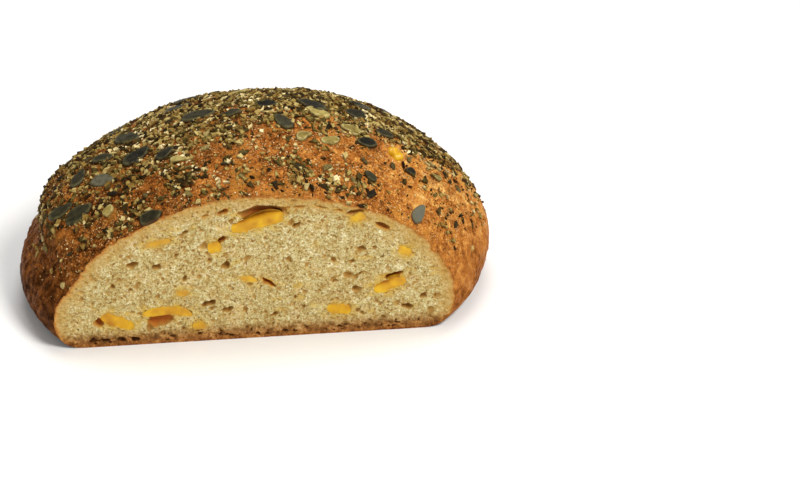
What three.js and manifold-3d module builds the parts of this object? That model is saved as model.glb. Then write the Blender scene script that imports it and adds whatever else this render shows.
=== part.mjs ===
// A round loaf of pumpkin spelt bread whose front has been cut away, resting on its flat base.
// The cut face looks along -Y. Chunks of baked pumpkin sit in the crumb, and seeds stud the crust.
// Millimetres, +Z up. The origin is under the middle of the loaf's box, on the surface it rests on.

import * as THREE from 'three';
import { mergeVertices } from 'three/addons/utils/BufferGeometryUtils.js';
import Module from 'manifold-3d';

const wasm = await Module();
wasm.setup();

const { degToRad } = THREE.MathUtils;

// ---------------------------------------------------------------- driving dimensions

// The whole round, as it was before the cut
const HALF_WIDTH = 110;
const HALF_DEPTH = 96;
const HEIGHT = 90;
const PLAN_POWER = 2.02; // 2 is an oval, more is squarer
const PLAN_TURN = degToRad(8.8);
const LOBE_SHARE = 0.019; // a slight three-cornered swelling of the plan
const LOBE_TURN = degToRad(17.4);

// Its side: a domed top over a low belly that tucks in to a flat base
const BELLY_HEIGHT = 21;
const BASE_REACH = 0.87; // the base's edge, as a share of the belly's
const BASE_POWER = 2.8;
const DOME_REACH_POWER = 1.65;
const DOME_RISE_POWER = 1.56;
const CROWN_SOFTNESS = 0.15; // reach over which the dome's top is rounded off
const CROWN_LEAN_X = 17.2;
const CROWN_LEAN_Y = -0.9;

// The left side tucks in below its shoulder, and low swells run all over; depth is inwards
const TUCK = { bearing: degToRad(172), height: 32, depth: 5.6, spread: degToRad(50), rise: 10 };
const SHOULDER = { bearing: degToRad(180), height: 55, depth: -6, spread: degToRad(23), rise: 14 };
const LONG_SWELL = { height: 0.8, alongX: 15, alongY: 17 };
const SHORT_SWELL = { height: 0.45, alongX: 7.3, alongY: 8.1, upX: 11, upY: 9 };

// The cut, in front of the round's middle, and the place of that middle in the part's frame
const CUT_IN_FRONT = 52;
const MIDDLE_X = -2.5;
const MIDDLE_Y = (CUT_IN_FRONT - HALF_DEPTH) / 2;
const CUT_Y = MIDDLE_Y - CUT_IN_FRONT;

// Clearances between pieces that touch
const GAP = 0.35;
const RECESS = 0.4; // a chunk's face behind the cut

// Fineness of the crust's facets
const AROUND = 64;
const DOME_STEPS = 15;
const BELLY_STEPS = 5;

// Pumpkin in the crumb: x from the round's middle, z above the base, tilt up to the right, and how
// far a chunk arches along its length, as a share of half its height
const CHUNK_BEND = 0.12;
const CHUNKS = [
  { name: 'pumpkin_top', x: -0.6, z: 60.4, length: 24.5, height: 7.2, depth: 9, tilt: 15 },
  { name: 'pumpkin_low_left', x: -64.5, z: 12.6, length: 16, height: 5.4, depth: 8, tilt: -25 },
  { name: 'pumpkin_low_middle', x: -42, z: 15.8, length: 22.5, height: 4.4, depth: 7, tilt: -3, bend: 1.2 },
  { name: 'pumpkin_cube', x: -20, z: 48.4, length: 5.8, height: 5.4, depth: 6, tilt: 4 },
  { name: 'pumpkin_upper_right', x: 44.6, z: 59.6, length: 7, height: 3.6, depth: 5, tilt: 12 },
  { name: 'pumpkin_streak_left', x: -45.4, z: 52.2, length: 12, height: 2.6, depth: 4, tilt: 10 },
  { name: 'pumpkin_streak_middle', x: -5, z: 31, length: 9, height: 2.4, depth: 4, tilt: -14 },
  { name: 'pumpkin_low_crumb', x: -28, z: 8, length: 6, height: 3.8, depth: 5, tilt: 0 },
  { name: 'pumpkin_small', x: -34.8, z: 25.6, length: 5, height: 3, depth: 4, tilt: 0 },
  { name: 'pumpkin_right_low', x: 36, z: 12.5, length: 11, height: 4.8, depth: 6, tilt: -9 },
  { name: 'pumpkin_right_middle', x: 59, z: 24, length: 15, height: 5.6, depth: 8, tilt: 21 },
  { name: 'pumpkin_right_high', x: 66, z: 41, length: 7, height: 4, depth: 5, tilt: -30 },
];

// Hollows at the cut: the arched ones over the chunks, and the largest bubbles of the crumb
const HOLLOWS = [
  { x: 1.5, z: 65, length: 20, height: 7, depth: 4, tilt: 2 },
  { x: -72.8, z: 12.6, length: 4.4, height: 5, depth: 3.5, tilt: 20 },
  { x: -45.5, z: 12.2, length: 12, height: 7.4, depth: 3.5, tilt: 8 },
  { x: -16.6, z: 52, length: 5, height: 3, depth: 4, tilt: 35 },
  { x: 43.6, z: 62.4, length: 8, height: 2.6, depth: 4, tilt: 8 },
  { x: 4, z: 28.6, length: 8, height: 1.6, depth: 4, tilt: -40 },
  { x: -16, z: 66, length: 5, height: 2.4, depth: 4, tilt: 20 },
  { x: 56, z: 54.6, length: 7, height: 2.6, depth: 4, tilt: -32 },
  { x: 61, z: 28.6, length: 9, height: 3, depth: 5, tilt: 20 },
];
const BUBBLES = { count: 26, seed: 7, shortest: 2.6, longest: 6.2, apart: 3, lowest: 8 };
const BASE_BUBBLES = { from: -76, step: 6.2, count: 4, z: 3, length: 3.8, height: 2.4, depth: 2.2 };

// The oval of the cut face that the bubbles keep to
const FACE_HALF_WIDTH = 80;
const FACE_HEIGHT = 63;

// The chunk that lies in the crust, and the seeds that stand out, each as
// [bearing, reach, heading, length], degrees round from +X, 0 at the crown to 1 at the belly,
// degrees from level up to the crown, and millimetres
const CRUST_CHUNK = { name: 'pumpkin_crust', bearing: 344, reach: 0.56, heading: 75, length: 8, width: 6 };
const DARK_SEEDS = [
  [198, 0.78, 65, 16], [192, 0.81, 75, 14], [187.5, 0.545, 115, 16], [166.5, 0.585, 65, 17],
  [177.5, 0.645, 80, 11], [183.5, 0.72, 140, 12], [191.5, 0.665, 50, 13], [196.5, 0.465, 100, 11],
  [163, 0.33, 95, 18], [172, 0.2, 65, 12], [150, 0.08, 95, 12], [270, 0.12, 120, 12],
  [10, 0.13, 60, 15], [9, 0.35, 100, 13], [338, 0.43, 140, 11], [356, 0.48, 105, 11],
  [328, 0.79, 15, 12], [320, 0.57, 105, 7], [340, 0.65, 140, 7], [223, 0.68, 50, 12],
];
const PALE_SEEDS = [
  [348, 0.16, 90, 12], [316, 0.32, 145, 9], [114, 0.34, 105, 16], [342, 0.33, 110, 11],
  [348, 0.75, 105, 6], [206.5, 0.72, 90, 7], [208, 0.45, 30, 8], [297, 0.24, 0, 9],
];
const SEED_THICKNESS = 2.6;
const SEED_PROUD = 0.35; // its middle above the crust
const SEED_TAPER = 0.3;

// Seeds over the back, and chopped bits all over, closest together near the crown. They leave a
// nearly bare patch in front of the crown, measured from the round's middle
const BACK_SEEDS = { from: 22, to: 158, count: 16, seed: 11, nearest: 0.42, farthest: 0.89 };
const BITS = {
  tries: 190, seed: 23, shortest: 3.2, longest: 5.6, thickness: 2.3, apart: 0.8, crowding: 0.72,
};
const BARE = { x: 12, y: -22, radius: 17 };

// ---------------------------------------------------------------- solids

const MERGE_WITHIN = 1e-4;

function toSolid(geometry) {
  const bare = geometry.clone();
  bare.deleteAttribute('normal');
  bare.deleteAttribute('uv');
  const merged = mergeVertices(bare, MERGE_WITHIN);
  const index = merged.index.array;
  const triVerts = [];
  for (let i = 0; i < index.length; i += 3) {
    const [a, b, c] = index.slice(i, i + 3);
    if (a !== b && b !== c && c !== a) triVerts.push(a, b, c);
  }
  return new wasm.Manifold(new wasm.Mesh({
    numProp: 3,
    vertProperties: merged.attributes.position.array,
    triVerts: new Uint32Array(triVerts),
  }));
}

function toGeometry(solid) {
  const mesh = solid.getMesh();
  const geometry = new THREE.BufferGeometry();
  geometry.setAttribute('position', new THREE.BufferAttribute(mesh.vertProperties, 3));
  geometry.setIndex(new THREE.BufferAttribute(mesh.triVerts, 1));
  geometry.computeVertexNormals();
  return geometry;
}

function largestPiece(solid) {
  const pieces = solid.decompose();
  return pieces.reduce((best, piece) => (piece.volume() > best.volume() ? piece : best));
}

// A repeatable stream of numbers from 0 to 1
function randomStream(seed) {
  let state = seed;
  return () => {
    state = (state * 1664525 + 1013904223) % 4294967296;
    return state / 4294967296;
  };
}

function eachVertex(geometry, move) {
  const position = geometry.attributes.position;
  const point = new THREE.Vector3();
  for (let i = 0; i < position.count; i += 1) {
    move(point.fromBufferAttribute(position, i));
    position.setXYZ(i, point.x, point.y, point.z);
  }
  return geometry;
}

// ---------------------------------------------------------------- the crust's shape

function planRadius(bearing) {
  const across = Math.abs(Math.cos(bearing - PLAN_TURN)) / HALF_WIDTH;
  const along = Math.abs(Math.sin(bearing - PLAN_TURN)) / HALF_DEPTH;
  const oval = (across ** PLAN_POWER + along ** PLAN_POWER) ** (-1 / PLAN_POWER);
  return oval * (1 + LOBE_SHARE * Math.cos(3 * bearing - LOBE_TURN));
}

function dent({ bearing: middle, height: level, depth, spread, rise }, bearing, height) {
  const sideways = (2 * Math.sin((bearing - middle) / 2)) / spread;
  return depth * Math.exp(-(sideways ** 2) - ((height - level) / rise) ** 2);
}

function swell(x, y, z) {
  const long = Math.sin(x / LONG_SWELL.alongX + 0.6) * Math.cos(y / LONG_SWELL.alongY - 0.3);
  const shortX = Math.sin(x / SHORT_SWELL.alongX + z / SHORT_SWELL.upX);
  const shortY = Math.cos(y / SHORT_SWELL.alongY - z / SHORT_SWELL.upY);
  const above = THREE.MathUtils.smoothstep(z, 0, BELLY_HEIGHT);
  return above * (LONG_SWELL.height * long + SHORT_SWELL.height * shortX * shortY);
}

// reach is 0 at the crown's or the base's middle and 1 at the belly
function crustPoint(bearing, reach, height) {
  const round = new THREE.Vector3(Math.cos(bearing), Math.sin(bearing), 0);
  const lean = height > BELLY_HEIGHT ? 1 - reach : 0;
  const inward = dent(TUCK, bearing, height) + dent(SHOULDER, bearing, height);
  const point = round.clone().multiplyScalar(reach * planRadius(bearing) - inward);
  point.x += CROWN_LEAN_X * lean;
  point.y += CROWN_LEAN_Y * lean;
  point.z = height;
  const outward = round.multiplyScalar(reach);
  outward.z = Math.sqrt(Math.max(0, 1 - reach ** 2)) * (height > BELLY_HEIGHT ? 1 : 0);
  point.addScaledVector(outward, swell(point.x, point.y, height));
  point.x += MIDDLE_X;
  point.y += MIDDLE_Y;
  return point;
}

function softened(reach) {
  return Math.hypot(reach, CROWN_SOFTNESS) ** DOME_REACH_POWER;
}

function domeHeight(reach) {
  const fall = (softened(reach) - softened(0)) / (softened(1) - softened(0));
  const rise = Math.max(0, 1 - fall) ** (1 / DOME_RISE_POWER);
  return BELLY_HEIGHT + (HEIGHT - BELLY_HEIGHT) * rise;
}

function onDome(bearing, reach) {
  return crustPoint(bearing, reach, domeHeight(reach));
}

// The profile from the base's middle out to the belly and up to the crown, at a radius of 1
function profile() {
  const points = [new THREE.Vector2(0, 0)];
  for (let i = 0; i < BELLY_STEPS; i += 1) {
    const turn = (i / BELLY_STEPS) * (Math.PI / 2);
    const out = Math.sin(turn) ** (2 / BASE_POWER);
    const up = 1 - Math.cos(turn) ** (2 / BASE_POWER);
    points.push(new THREE.Vector2(BASE_REACH + (1 - BASE_REACH) * out, BELLY_HEIGHT * up));
  }
  for (let i = 0; i < DOME_STEPS; i += 1) {
    const turn = (i / DOME_STEPS) * (Math.PI / 2);
    const reach = Math.cos(turn) ** (2 / DOME_REACH_POWER);
    points.push(new THREE.Vector2(reach, domeHeight(reach)));
  }
  points.push(new THREE.Vector2(0, HEIGHT));
  return points;
}

function wholeRound() {
  const geometry = new THREE.LatheGeometry(profile(), AROUND);
  geometry.rotateX(Math.PI / 2);
  return eachVertex(geometry, (p) => {
    p.copy(crustPoint(Math.atan2(p.y, p.x), Math.hypot(p.x, p.y), p.z));
  });
}

// A frame on the dome: X along the heading, Z out of the crust
function domeFrame(bearing, reach, heading) {
  const step = 1e-3;
  const at = onDome(bearing, reach);
  const round = onDome(bearing + step, reach).sub(onDome(bearing - step, reach)).normalize();
  const down = onDome(bearing, reach + step).sub(onDome(bearing, Math.max(0, reach - step)));
  const out = new THREE.Vector3().crossVectors(down, round).normalize();
  const along = round.applyAxisAngle(out, heading);
  const across = new THREE.Vector3().crossVectors(out, along);
  return new THREE.Matrix4().makeBasis(along, across, out).setPosition(at);
}

// ---------------------------------------------------------------- pieces

// A box that holds all that lies in front of the plane y
function inFrontOf(y) {
  const size = 4 * HALF_WIDTH;
  const geometry = new THREE.BoxGeometry(size, size, size);
  geometry.translate(0, y - size / 2, 0);
  return toSolid(geometry);
}

// A rounded lump of pumpkin, arched along its length; grow widens it on all sides
function chunkGeometry({ length, height, depth, bend = CHUNK_BEND }, grow) {
  const squareness = 0.7;
  const ripple = 0.1;
  const geometry = new THREE.SphereGeometry(1, 14, 7);
  return eachVertex(geometry, (p) => {
    p.x = Math.sign(p.x) * Math.abs(p.x) ** squareness;
    p.z = Math.sign(p.z) * Math.abs(p.z) ** squareness;
    p.z += bend * (0.5 - p.x ** 2) + ripple * Math.sin(5 * p.x);
    p.multiply(new THREE.Vector3(length / 2 + grow, depth / 2 + grow, height / 2 + grow));
  });
}

function atCut(geometry, { x, z, tilt }) {
  geometry.rotateY(-degToRad(tilt));
  geometry.translate(MIDDLE_X + x, CUT_Y, z);
  return toSolid(geometry);
}

function hollow(size) {
  const geometry = new THREE.SphereGeometry(1, 10, 6);
  geometry.scale(size.length / 2, size.depth, size.height / 2);
  return atCut(geometry, size);
}

// The bubbles of the crumb, spread over the cut clear of each other and of the pumpkin
function bubbles() {
  const random = randomStream(BUBBLES.seed);
  const taken = [...CHUNKS, ...HOLLOWS].map(({ x, z, length }) => ({ x, z, radius: length / 2 }));
  const made = [];
  while (made.length < BUBBLES.count) {
    const x = (2 * random() - 1) * FACE_HALF_WIDTH;
    const z = BUBBLES.lowest + random() * FACE_HEIGHT;
    const length = THREE.MathUtils.lerp(BUBBLES.shortest, BUBBLES.longest, random() ** 2);
    const inside = Math.hypot(x / FACE_HALF_WIDTH, z / FACE_HEIGHT) < 1;
    const apart = length / 2 + BUBBLES.apart;
    const clear = taken.every((t) => Math.hypot(t.x - x, t.z - z) > t.radius + apart);
    if (inside && clear) {
      taken.push({ x, z, radius: length / 2 });
      const height = length * (0.45 + 0.35 * random());
      made.push({ x, z, length, height, depth: 0.5 * length, tilt: 70 * random() - 10 });
    }
  }
  for (let i = 0; i < BASE_BUBBLES.count; i += 1) {
    made.push({ ...BASE_BUBBLES, x: BASE_BUBBLES.from + i * BASE_BUBBLES.step, tilt: 0 });
  }
  return made.map((bubble) => {
    const geometry = new THREE.OctahedronGeometry(1, 1);
    geometry.scale(bubble.length / 2, bubble.depth, bubble.height / 2);
    return atCut(geometry, bubble);
  });
}

// A whole pumpkin seed, pointed at one end, lying in the crust with most of its thickness proud
function seed([bearing, reach, heading, length]) {
  const width = 0.5 * length + 0.8;
  const geometry = new THREE.OctahedronGeometry(1, 1);
  eachVertex(geometry, (p) => {
    p.y *= 1 - SEED_TAPER * p.x;
    p.multiply(new THREE.Vector3(length / 2, width / 2, SEED_THICKNESS / 2));
    p.z += SEED_PROUD;
  });
  return geometry.applyMatrix4(domeFrame(degToRad(bearing), reach, degToRad(heading)));
}

// Seeds of the same kind over the back, stepping round it as they go out to the belly
function backSeeds() {
  const random = randomStream(BACK_SEEDS.seed);
  const { from, to, count, nearest, farthest } = BACK_SEEDS;
  return Array.from({ length: count }, (_, i) => {
    const bearing = THREE.MathUtils.lerp(from, to, ((i * 7) % count) / count) + 6 * random();
    const reach = THREE.MathUtils.lerp(nearest, farthest, i / count) + 0.04 * random();
    return [bearing, reach, 180 * random(), 12 + 5 * random()];
  });
}

// Chopped seeds: small faceted bits, clear of the discs that whole seeds take up
function bits(taken) {
  const random = randomStream(BITS.seed);
  const goldenAngle = Math.PI * (3 - Math.sqrt(5));
  const bare = new THREE.Vector2(MIDDLE_X + BARE.x, MIDDLE_Y + BARE.y);
  const made = [];
  for (let i = 1; i <= BITS.tries; i += 1) {
    const reach = 0.97 * (i / BITS.tries) ** BITS.crowding;
    const bearing = i * goldenAngle + 0.2 * random();
    const length = THREE.MathUtils.lerp(BITS.shortest, BITS.longest, random());
    const frame = domeFrame(bearing, reach, Math.PI * random());
    const [turnX, turnY] = [0.4 * (random() - 0.5), 0.4 * (random() - 0.5)];
    const at = new THREE.Vector3().setFromMatrixPosition(frame);
    const clear = taken.every((t) => t.at.distanceTo(at) > t.radius + length / 2 + BITS.apart);
    if (clear && at.y > CUT_Y + length && Math.hypot(at.x - bare.x, at.y - bare.y) > BARE.radius) {
      taken.push({ at, radius: length / 2 });
      const geometry = new THREE.BoxGeometry(length, 0.65 * length, BITS.thickness);
      geometry.applyMatrix4(new THREE.Matrix4().makeShear(0, 0, 0.3, 0, 0, 0));
      geometry.rotateX(turnX);
      geometry.rotateY(turnY);
      made.push(geometry.applyMatrix4(frame));
    }
  }
  return made;
}

function disc([bearing, reach, , length]) {
  return { at: onDome(degToRad(bearing), reach), radius: length / 2 };
}

function crustChunk(grow) {
  const { bearing, reach, heading, length, width } = CRUST_CHUNK;
  const geometry = chunkGeometry({ length, height: 5, depth: width }, grow);
  return geometry.applyMatrix4(domeFrame(degToRad(bearing), reach, degToRad(heading)));
}

// ---------------------------------------------------------------- the loaf and its pumpkin

function loafSolid() {
  const chunk = [CRUST_CHUNK.bearing, CRUST_CHUNK.reach, CRUST_CHUNK.heading, CRUST_CHUNK.length];
  const seeds = [...DARK_SEEDS, ...PALE_SEEDS, ...backSeeds()];
  const toppings = [...seeds.map(seed), ...bits([...seeds, chunk].map(disc))].map(toSolid);
  const studded = wasm.Manifold.union([toSolid(wholeRound()), ...toppings]);
  const pockets = CHUNKS.map((size) => atCut(chunkGeometry(size, GAP), size));
  const holes = [...HOLLOWS.map(hollow), ...bubbles()];
  const away = [inFrontOf(CUT_Y), toSolid(crustChunk(GAP)), ...pockets, ...holes];
  return largestPiece(studded.subtract(wasm.Manifold.union(away)));
}

const crust = new THREE.MeshStandardMaterial({ color: '#99672f', roughness: 0.85, metalness: 0 });
const pumpkin = new THREE.MeshStandardMaterial({ color: '#ce9729', roughness: 0.5, metalness: 0 });

const loaf = new THREE.Group();

function add(name, solid, material) {
  const mesh = new THREE.Mesh(toGeometry(solid), material);
  mesh.name = name;
  loaf.add(mesh);
}

add('loaf', loafSolid(), crust);
for (const size of CHUNKS) {
  const solid = atCut(chunkGeometry(size, 0), size);
  add(size.name, solid.subtract(inFrontOf(CUT_Y + RECESS)), pumpkin);
}
add(CRUST_CHUNK.name, toSolid(crustChunk(0)), pumpkin);

export default loaf;
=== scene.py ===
"""The looks of a cut round loaf of pumpkin spelt bread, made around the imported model.

Lengths are in millimetres until a mesh is made, and the lights' are in metres. The frame is the
model's own: +Z up, the cut face towards -Y, the origin under the middle of the loaf's box.
"""
import math

import bmesh
import bpy
import numpy as np
from mathutils import Matrix, Vector


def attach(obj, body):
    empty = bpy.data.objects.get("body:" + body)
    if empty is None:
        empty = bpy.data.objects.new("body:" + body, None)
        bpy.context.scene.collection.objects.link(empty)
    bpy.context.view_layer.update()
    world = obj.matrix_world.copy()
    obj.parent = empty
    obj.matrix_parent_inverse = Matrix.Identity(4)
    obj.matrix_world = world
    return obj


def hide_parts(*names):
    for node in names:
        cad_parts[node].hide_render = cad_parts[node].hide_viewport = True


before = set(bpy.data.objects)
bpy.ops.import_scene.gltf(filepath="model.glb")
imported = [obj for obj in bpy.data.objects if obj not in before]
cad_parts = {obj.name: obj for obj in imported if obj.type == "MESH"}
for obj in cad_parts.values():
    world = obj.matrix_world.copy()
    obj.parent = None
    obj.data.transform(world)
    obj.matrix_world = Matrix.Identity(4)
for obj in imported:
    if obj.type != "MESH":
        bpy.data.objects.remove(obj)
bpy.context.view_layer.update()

MM = 0.001
TAU = 2 * math.pi

# ------------------------------------------------------------------ driving dimensions

# The whole round before the cut, as the solid has it
HALF_WIDTH = 110
HALF_DEPTH = 96
HEIGHT = 90
PLAN_POWER = 2.02
PLAN_TURN = math.radians(8.8)
LOBE_SHARE = 0.019
LOBE_TURN = math.radians(17.4)
BELLY_HEIGHT = 21
BASE_REACH = 0.87
BASE_POWER = 2.8
DOME_REACH_POWER = 1.65
DOME_RISE_POWER = 1.56
CROWN_SOFTNESS = 0.15
CROWN_LEAN = (17.2, -0.9)
TUCK = {"bearing": math.radians(172), "height": 32, "depth": 5.6, "spread": math.radians(50), "rise": 10}
SHOULDER = {"bearing": math.radians(180), "height": 55, "depth": -6, "spread": math.radians(23), "rise": 14}
LONG_SWELL = {"height": 0.8, "x": 15, "y": 17}
SHORT_SWELL = {"height": 0.45, "x": 7.3, "y": 8.1, "up_x": 11, "up_y": 9}
CUT_IN_FRONT = 52
MIDDLE_X = -2.5
MIDDLE_Y = (CUT_IN_FRONT - HALF_DEPTH) / 2
CUT_Y = MIDDLE_Y - CUT_IN_FRONT

# How far the pumpkin's sliced faces lie behind the cut, and how much chunks arch along their length
RECESS = 0.15
CHUNK_BEND = 0.12
BENDS = {"pumpkin_low_middle": 1.2}
# Chunks with a hollow right above them: how much their upper edge draws back into it, and how much painted
# shade darkens that edge
ROOFED = {"pumpkin_top": 1, "pumpkin_right_middle": 0.6}
DRAW_BACK = 1.8
# Pumpkin in the crumb: node, x from the round's middle, z, length, height, depth, tilt in degrees
CHUNKS = [
    ("pumpkin_top", -0.6, 60.4, 24.5, 7.2, 9, 15),
    ("pumpkin_low_left", -64.5, 12.6, 16, 5.4, 8, -25),
    ("pumpkin_low_middle", -42, 15.8, 22.5, 4.4, 7, -3),
    ("pumpkin_cube", -20, 48.4, 5.8, 5.4, 6, 4),
    ("pumpkin_upper_right", 44.6, 59.6, 7, 3.6, 5, 12),
    ("pumpkin_streak_left", -45.4, 52.2, 12, 2.6, 4, 10),
    ("pumpkin_streak_middle", -5, 31, 9, 2.4, 4, -14),
    ("pumpkin_low_crumb", -28, 8, 6, 3.8, 5, 0),
    ("pumpkin_small", -34.8, 25.6, 5, 3, 4, 0),
    ("pumpkin_right_low", 36, 12.5, 11, 4.8, 6, -9),
    ("pumpkin_right_middle", 59, 24, 15, 5.6, 8, 21),
    ("pumpkin_right_high", 66, 41, 7, 4, 5, -30),
]

# Hollows at the cut: x, z, length, height, depth, tilt
HOLLOWS = [
    (1.5, 65, 20, 7, 4, 2),
    (-72.8, 12.6, 4.4, 5, 3.5, 20),
    (-45.5, 12.2, 12, 7.4, 3.5, 8),
    (-16.6, 52, 5, 3, 4, 35),
    (43.6, 62.4, 8, 2.6, 4, 8),
    (4, 28.6, 8, 1.6, 4, -40),
    (-16, 66, 5, 2.4, 4, 20),
    (56, 54.6, 7, 2.6, 4, -32),
    (61, 28.6, 9, 3, 5, 20),
]

# Thin crevices under the crust of the cut face: x, z, length, tilt
CREVICES = [
    (11.8, 66.4, 6, 4), (18.5, 66.5, 5, -3), (27.5, 65.9, 7, -6), (36.4, 63.8, 6, -14), (-24, 64.6, 4, 12),
]

# The large bubbles, by the same rule as in the solid
BUBBLES = {"count": 26, "seed": 7, "shortest": 2.6, "longest": 6.2, "apart": 3, "lowest": 8}
BASE_BUBBLES = {"from": -76, "step": 6.2, "count": 4, "z": 3, "length": 3.8, "height": 2.4, "depth": 2.2}
FACE_HALF_WIDTH = 80
FACE_HEIGHT = 63

# The chunk in the crust, and the seeds that stand out: bearing, reach, heading, length
CRUST_CHUNK = {
    "node": "pumpkin_crust", "bearing": 344, "reach": 0.56, "heading": 75, "length": 8, "width": 6,
}
DARK_SEEDS = [
    (198, 0.78, 65, 16), (192, 0.81, 75, 14), (187.5, 0.545, 115, 16), (166.5, 0.585, 65, 17),
    (177.5, 0.645, 80, 11), (183.5, 0.72, 140, 12), (191.5, 0.665, 50, 13), (196.5, 0.465, 100, 11),
    (163, 0.33, 95, 18), (172, 0.2, 65, 12), (150, 0.08, 95, 12), (270, 0.12, 120, 12),
    (10, 0.13, 60, 15), (9, 0.35, 100, 13), (338, 0.43, 140, 11), (356, 0.48, 105, 11),
    (328, 0.79, 15, 12), (320, 0.57, 105, 7), (340, 0.65, 140, 7), (223, 0.68, 50, 12),
]
PALE_SEEDS = [
    (348, 0.16, 90, 12), (316, 0.32, 145, 9), (114, 0.34, 105, 16), (342, 0.33, 110, 11),
    (348, 0.75, 105, 6), (206.5, 0.72, 90, 7), (208, 0.45, 30, 8), (297, 0.24, 0, 9),
]
# Seeds with a silvery skin, and how silvery
SILVERY_SEEDS = {(328, 0.79, 15, 12): 1.15, (191.5, 0.665, 50, 13): 0.95}
BACK_SEEDS = {"from": 22, "to": 158, "count": 16, "seed": 11, "nearest": 0.42, "farthest": 0.89}
SEED_THICKNESS = 2.6
SEED_PROUD = 0.35
SEED_TAPER = 0.3
SEED_WIDTH_SHARE = 0.5
SEED_SPARE_WIDTH = 0.8
BITS = {"tries": 190, "seed": 23, "shortest": 3.2, "longest": 5.6, "apart": 0.8, "crowding": 0.72}
BIT_THICKNESS = 2.3
BIT_WIDTH = 0.65
BARE = {"x": 12, "y": -22, "radius": 17}

# Fineness of the meshes
CRUST_STEP = 0.83
CRUST_AROUND = 832
BASE_STEP = 2.4
CRUMB_CELL = 0.345
CRUMB_X = (-98, 98)
CRUMB_Z = (-1, 78)
# The crumb's triangles whose doubled area is no more than this are left out
SLIVER = 1e-5

# Pores of the crumb: how many, shortest, longest, depth for each millimetre of height, and how
# softly their walls fall
PORES = [
    (8500, 0.8, 1.3, 0.5, 0.5), (1500, 1.2, 1.9, 0.45, 0.55),
    (230, 1.9, 3.1, 0.42, 0.7), (34, 3.0, 4.8, 0.4, 0.8),
]
YELLOW_TINTS = 30
BASE_PITS = 34

# Bits strewn on the crust: piece, slot, tries, shortest, longest, corners, random seed
GREEN_BITS = ("green_bits", "seed_green", 20000, 0.9, 5.6, 4, 21)
PALE_BITS = ("pale_bits", "seed_pale", 27000, 0.8, 5.2, 4, 22)
DARK_SCRAPS = ("dark_scraps", "seed_green", 14000, 0.6, 2.4, 4, 24)
GRAIN_FLECKS = ("grain_flecks", "grain", 26000, 0.5, 1.9, 3, 23)

# The camera, fitted to the photograph: its place, and degrees to the right of +Y, down and rolled
CAMERA_AT = (-90.81, -1211.98, 702.69)
CAMERA_AZIMUTH = 7.604
CAMERA_DOWN = 29.772
CAMERA_ROLL = 0.534
CAMERA_LENS = 131.98
CAMERA_SENSOR = 36

# Lights: place, size, power, colour
LIGHTS = {
    "key": ((0.8, -1.0, 1.5), 0.7, 30, (1, 0.98, 0.95)),
    "fill": ((-1.2, -1.3, 0.7), 1.2, 5, (1, 0.99, 0.97)),
    "top": ((0.1, 0.5, 1.6), 1.0, 14, (1, 1, 1)),
}
LIGHTS_AIM = (0, 0, 0.04)
SKY_STRENGTH = 0.34
FLOOR_REACH = 4000


# ------------------------------------------------------------------ numbers

def random_stream(seed):
    """The same repeatable numbers from 0 to 1 that place the solid's bubbles and seeds."""
    state = seed
    while True:
        state = (state * 1664525 + 1013904223) % 4294967296
        yield state / 4294967296


def lerp(a, b, t):
    return a + (b - a) * t


def smooth(low, high, value):
    t = np.clip((value - low) / (high - low), 0, 1)
    return t * t * (3 - 2 * t)


def columns(*parts):
    return np.stack(parts, axis=1)


def cos_sin(degrees):
    turn = math.radians(degrees)
    return math.cos(turn), math.sin(turn)


def lattice(ix, iy, iz, seed):
    n = (ix * 374761393 + iy * 668265263 + iz * 1440662683 + seed * 982451653) & 0xFFFFFFFF
    n = ((n ^ (n >> 13)) * 1274126177) & 0xFFFFFFFF
    n = ((n ^ (n >> 16)) * 2246822519) & 0xFFFFFFFF
    return (n ^ (n >> 15)) / 4294967295


def noise(points, size, seed):
    """Smooth noise from -1 to 1, with lumps about size millimetres across."""
    q = points / size
    cell = np.floor(q).astype(np.int64)
    t = q - cell
    t = t * t * (3 - 2 * t)
    total = np.zeros(len(points))
    for corner in range(8):
        o = np.array([corner & 1, corner >> 1 & 1, corner >> 2 & 1])
        weight = np.prod(np.where(o, t, 1 - t), axis=1)
        total += weight * lattice(*(cell + o).T, seed)
    return 2 * total - 1


def clouds(points, size, seed, octaves=3):
    """Several sizes of noise on top of each other, about -1 to 1."""
    total, share = 0, 1
    for i in range(octaves):
        total = total + share * noise(points + 17.3 * i, size / 2 ** i, seed + 31 * i)
        share *= 0.5
    return total / (2 - 2 * share)


# ------------------------------------------------------------------ the crust's shape

def plan_radius(bearing):
    across = np.abs(np.cos(bearing - PLAN_TURN)) / HALF_WIDTH
    along = np.abs(np.sin(bearing - PLAN_TURN)) / HALF_DEPTH
    oval = (across ** PLAN_POWER + along ** PLAN_POWER) ** (-1 / PLAN_POWER)
    return oval * (1 + LOBE_SHARE * np.cos(3 * bearing - LOBE_TURN))


def dent(place, bearing, height):
    sideways = 2 * np.sin((bearing - place["bearing"]) / 2) / place["spread"]
    upward = (height - place["height"]) / place["rise"]
    return place["depth"] * np.exp(-sideways ** 2 - upward ** 2)


def swell(x, y, z):
    long = np.sin(x / LONG_SWELL["x"] + 0.6) * np.cos(y / LONG_SWELL["y"] - 0.3)
    short_x = np.sin(x / SHORT_SWELL["x"] + z / SHORT_SWELL["up_x"])
    short_y = np.cos(y / SHORT_SWELL["y"] - z / SHORT_SWELL["up_y"])
    above = smooth(0, BELLY_HEIGHT, z)
    return above * (LONG_SWELL["height"] * long + SHORT_SWELL["height"] * short_x * short_y)


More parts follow.
